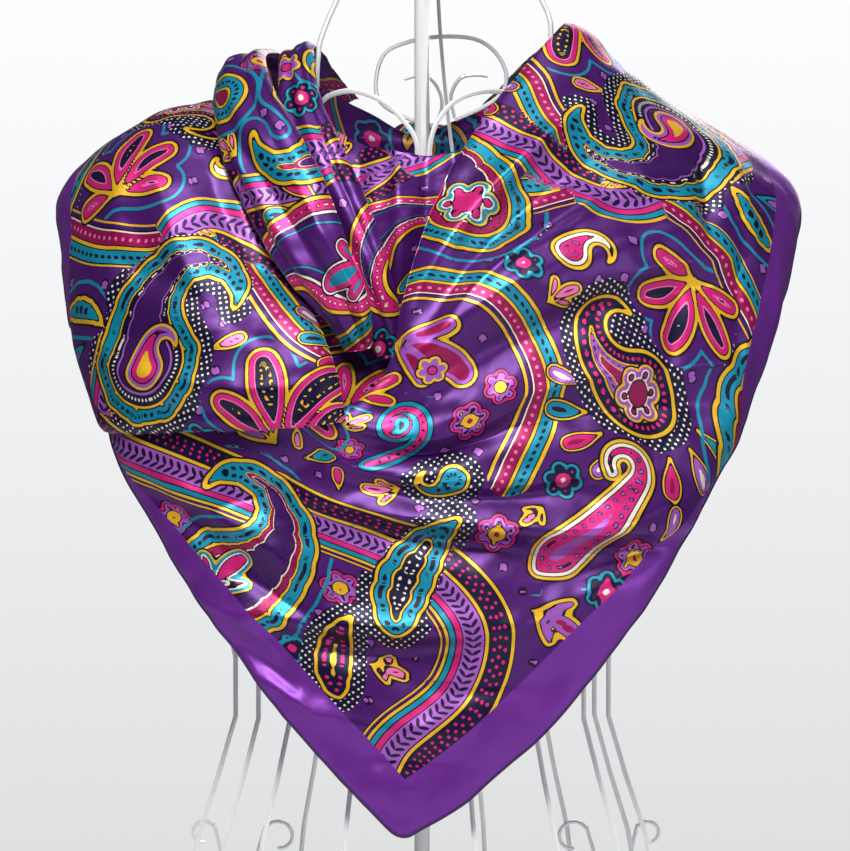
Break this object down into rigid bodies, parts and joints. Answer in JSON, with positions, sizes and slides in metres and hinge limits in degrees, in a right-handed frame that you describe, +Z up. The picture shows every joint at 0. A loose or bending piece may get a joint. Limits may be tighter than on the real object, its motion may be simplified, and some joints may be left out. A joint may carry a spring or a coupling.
{
  "type": "square scarf on wire dress form",
  "caption": "Square satin scarf folded to a triangle, draped as a cowl and tied at the nape, on a white wire dress form with a round base.",
  "frame": {"origin": "middle of the round base's underside", "axes": "+Z up along the pole, -Y towards the scarf's front, +X to the right as seen from the front"},
  "size_m": [0.4897, 0.2793, 0.832],
  "materials": {
    "satin": "shiny satin with a printed paisley pattern",
    "white_paint": "gloss"
  },
  "bodies": {
    "root": {"front_panel": "satin", "left_drape": "satin", "inner_cowl": "satin", "neck_band": "satin", "outer_roll": "satin", "inner_roll": "satin", "knot": "satin", "tail_left": "satin", "tail_right": "satin", "arc_left": "white_paint", "arc_right": "white_paint", "base": "white_paint", "collar": "white_paint", "curl_left": "white_paint", "curl_right": "white_paint", "hip_hoop": "white_paint", "hub": "white_paint", "neck_back": "white_paint", "neck_cap": "white_paint", "neck_front": "white_paint", "neck_left": "white_paint", "neck_right": "white_paint", "neck_ring": "white_paint", "oval": "white_paint", "pole_lower": "white_paint", "pole_upper": "white_paint", "rib_back_1": "white_paint", "rib_back_2": "white_paint", "rib_back_3": "white_paint", "rib_back_4": "white_paint", "rib_front_1": "white_paint", "rib_front_2": "white_paint", "rib_front_3": "white_paint", "rib_front_4": "white_paint", "rib_front_5": "white_paint", "rib_front_6": "white_paint", "rib_side_left": "white_paint", "rib_side_right": "white_paint", "scroll_left_large": "white_paint", "scroll_left_small": "white_paint", "scroll_right_large": "white_paint", "scroll_right_small": "white_paint", "spoke_back": "white_paint", "spoke_front": "white_paint", "spoke_left": "white_paint", "spoke_right": "white_paint", "yoke_hoop": "white_paint"}
  },
  "joints": []
}
